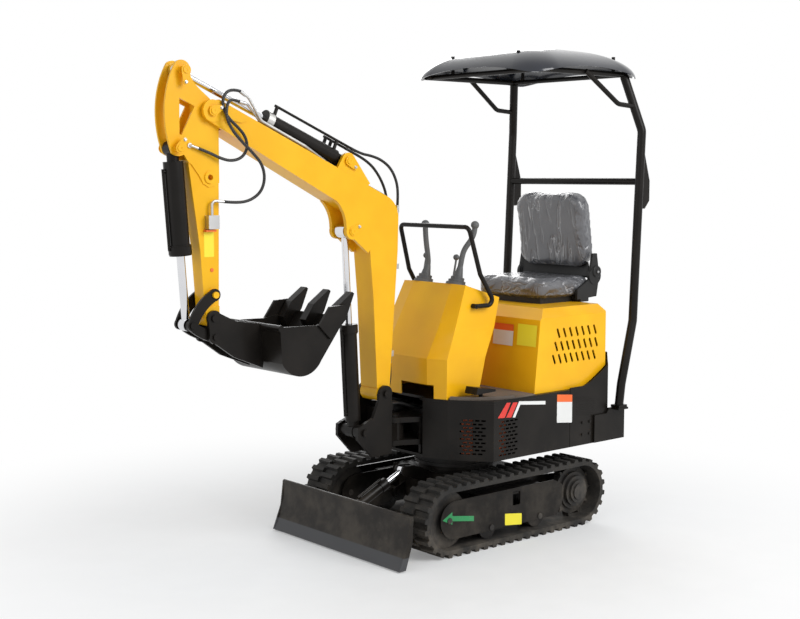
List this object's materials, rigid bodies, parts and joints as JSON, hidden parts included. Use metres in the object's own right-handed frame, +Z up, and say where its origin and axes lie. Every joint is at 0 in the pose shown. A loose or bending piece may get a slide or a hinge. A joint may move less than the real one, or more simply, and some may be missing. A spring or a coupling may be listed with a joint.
{
  "type": "mini excavator",
  "caption": "Mini excavator with rubber tracks, dozer blade, swing boom, toothed bucket, open canopy and seat.",
  "frame": {"origin": "on the ground under the middle of the whole machine, blade to canopy gussets and bucket tip", "axes": "+Z up, -Y towards the machine's front, +X to the machine's left"},
  "size_m": [0.964, 2.5524, 2.3505],
  "materials": {
    "yellow_paint": "gloss",
    "black_paint": "semi-gloss",
    "track_rubber": "matte",
    "cast_rollers": "rough",
    "bare_steel": "satin",
    "chrome_rod": "polished",
    "roof_shell": "gloss",
    "seat_vinyl": "satin",
    "black_plastic": "matte",
    "lever_rubber": "matte",
    "floor_rubber": "matte",
    "hose_rubber": "satin"
  },
  "bodies": {
    "undercarriage": {"carbody": "black_paint", "slew_ring": "bare_steel", "track_belt_left": "track_rubber", "track_belt_right": "track_rubber", "track_frame_left": "black_paint", "track_frame_right": "black_paint", "track_rollers_left": "cast_rollers", "track_rollers_right": "cast_rollers", "drive_sprocket_left": "cast_rollers", "drive_sprocket_right": "cast_rollers"},
    "blade": {"blade": "black_paint"},
    "blade_barrel": {"blade_cylinder_barrel": "black_paint"},
    "blade_rod": {"blade_cylinder_rod": "chrome_rod"},
    "house": {"house_frame": "black_paint", "deck_plate": "black_paint", "side_panels": "black_paint", "tail_skirt": "black_paint", "engine_hood": "yellow_paint", "engine_block": "cast_rollers", "oil_tank": "black_paint", "console": "yellow_paint", "grab_bar": "black_paint", "control_levers": "lever_rubber", "pedal": "black_paint", "floor_mat": "floor_rubber", "seat_frame": "black_plastic", "seat_cushion": "seat_vinyl", "seat_back": "seat_vinyl", "canopy_mounts": "black_paint", "canopy_roof": "roof_shell", "canopy_frame": "black_paint"},
    "swing_bracket": {"swing_bracket": "black_paint", "house_hose_1": "hose_rubber", "house_hose_2": "hose_rubber"},
    "lift_barrel": {"lift_cylinder_barrel": "black_paint"},
    "lift_rod": {"lift_cylinder_rod": "chrome_rod"},
    "boom": {"boom": "yellow_paint", "boom_pipes": "bare_steel", "curl_hose_upper": "hose_rubber", "curl_hose_lower": "hose_rubber", "crowd_hose_outer": "hose_rubber", "crowd_hose_inner": "hose_rubber", "foot_hose_1": "hose_rubber", "foot_hose_2": "hose_rubber", "foot_hose_3": "hose_rubber", "foot_hose_4": "hose_rubber"},
    "crowd_barrel": {"crowd_cylinder_barrel": "black_paint"},
    "crowd_rod": {"crowd_cylinder_rod": "chrome_rod"},
    "arm": {"arm": "yellow_paint", "arm_fittings": "bare_steel"},
    "curl_barrel": {"curl_cylinder_barrel": "black_paint"},
    "curl_rod": {"curl_cylinder_rod": "chrome_rod"},
    "rocker": {"bucket_rocker": "black_paint"},
    "bucket": {"bucket": "black_paint"},
    "link": {"bucket_link": "black_paint"}
  },
  "joints": [
    {"name": "slew", "type": "hinge", "parent": "undercarriage", "child": "house", "pos_m": [0, 0.3712, 0.38], "axis": [0, 0, 1], "continuous": true},
    {"name": "boom_swing", "type": "hinge", "parent": "house", "child": "swing_bracket", "pos_m": [0, -0.0388, 0.535], "axis": [0, 0, 1], "range_deg": [-50, 50], "deforming": ["house_hose_1", "house_hose_2"]},
    {"name": "boom_lift", "type": "hinge", "parent": "swing_bracket", "child": "boom", "pos_m": [0, -0.1498, 0.718], "axis": [-1, 0, 0], "range_deg": [-72, 6], "deforming": ["foot_hose_1", "foot_hose_2", "foot_hose_3", "foot_hose_4"]},
    {"name": "arm_crowd", "type": "hinge", "parent": "boom", "child": "arm", "pos_m": [0, -1.0638, 1.993], "axis": [1, 0, 0], "range_deg": [-88, 2], "deforming": ["curl_hose_upper", "curl_hose_lower"]},
    {"name": "bucket_curl", "type": "hinge", "parent": "arm", "child": "bucket", "pos_m": [0, -1.0638, 1.1312], "axis": [1, 0, 0], "range_deg": [-115, 25]},
    {"name": "blade_lift", "type": "hinge", "parent": "undercarriage", "child": "blade", "pos_m": [0, 0.1092, 0.172], "axis": [-1, 0, 0], "range_deg": [-17, 18]},
    {"name": "lift_barrel_turn", "type": "hinge", "parent": "swing_bracket", "child": "lift_barrel", "pos_m": [0, -0.2788, 0.548], "axis": [-1, 0, 0], "range_deg": [-66, 6]},
    {"name": "lift_rod_slide", "type": "slide", "parent": "lift_barrel", "child": "lift_rod", "axis": [0, -0.0517, 0.9987], "range_m": [-0.235, 0.021]},
    {"name": "crowd_barrel_turn", "type": "hinge", "parent": "boom", "child": "crowd_barrel", "pos_m": [0, -0.3428, 1.792], "axis": [1, 0, 0], "range_deg": [-11, 1], "deforming": ["crowd_hose_outer", "crowd_hose_inner"]},
    {"name": "crowd_rod_slide", "type": "slide", "parent": "crowd_barrel", "child": "crowd_rod", "axis": [0, -0.9199, 0.3921], "range_m": [-0.253, 0.007]},
    {"name": "curl_barrel_turn", "type": "hinge", "parent": "arm", "child": "curl_barrel", "pos_m": [0, -1.2218, 1.838], "axis": [1, 0, 0], "range_deg": [-6, 2]},
    {"name": "curl_rod_slide", "type": "slide", "parent": "curl_barrel", "child": "curl_rod", "axis": [0, 0.0735, -0.9973], "range_m": [-0.146, 0.033]},
    {"name": "rocker_turn", "type": "hinge", "parent": "arm", "child": "rocker", "pos_m": [0, -1.0584, 1.229], "axis": [1, 0, 0], "range_deg": [-58, 13]},
    {"name": "link_turn", "type": "hinge", "parent": "bucket", "child": "link", "pos_m": [0, -1.06, 1.0516], "axis": [1, 0, 0], "range_deg": [-19.5, 87]},
    {"name": "blade_barrel_turn", "type": "hinge", "parent": "blade", "child": "blade_barrel", "pos_m": [0, -0.2968, 0.168], "axis": [-1, 0, 0], "range_deg": [-2, 2]},
    {"name": "blade_rod_slide", "type": "slide", "parent": "blade_barrel", "child": "blade_rod", "axis": [0, 0.9034, 0.4288], "range_m": [-0.054, 0.051]}
  ],
  "couplings": [
    {"joint": "lift_barrel_turn", "follows": "boom_lift", "ratio": 0.9025},
    {"joint": "lift_rod_slide", "follows": "boom_lift", "m_per_rad": 0.18548},
    {"joint": "crowd_barrel_turn", "follows": "arm_crowd", "ratio": 0.1154},
    {"joint": "crowd_rod_slide", "follows": "arm_crowd", "m_per_rad": 0.16337},
    {"joint": "curl_barrel_turn", "follows": "bucket_curl", "ratio": 0.046},
    {"joint": "curl_rod_slide", "follows": "bucket_curl", "m_per_rad": 0.0718},
    {"joint": "rocker_turn", "follows": "bucket_curl", "ratio": 0.4955},
    {"joint": "link_turn", "follows": "bucket_curl", "ratio": -0.7464},
    {"joint": "blade_barrel_turn", "follows": "blade_lift", "ratio": 0.0563},
    {"joint": "blade_rod_slide", "follows": "blade_lift", "m_per_rad": -0.16702}
  ]
}
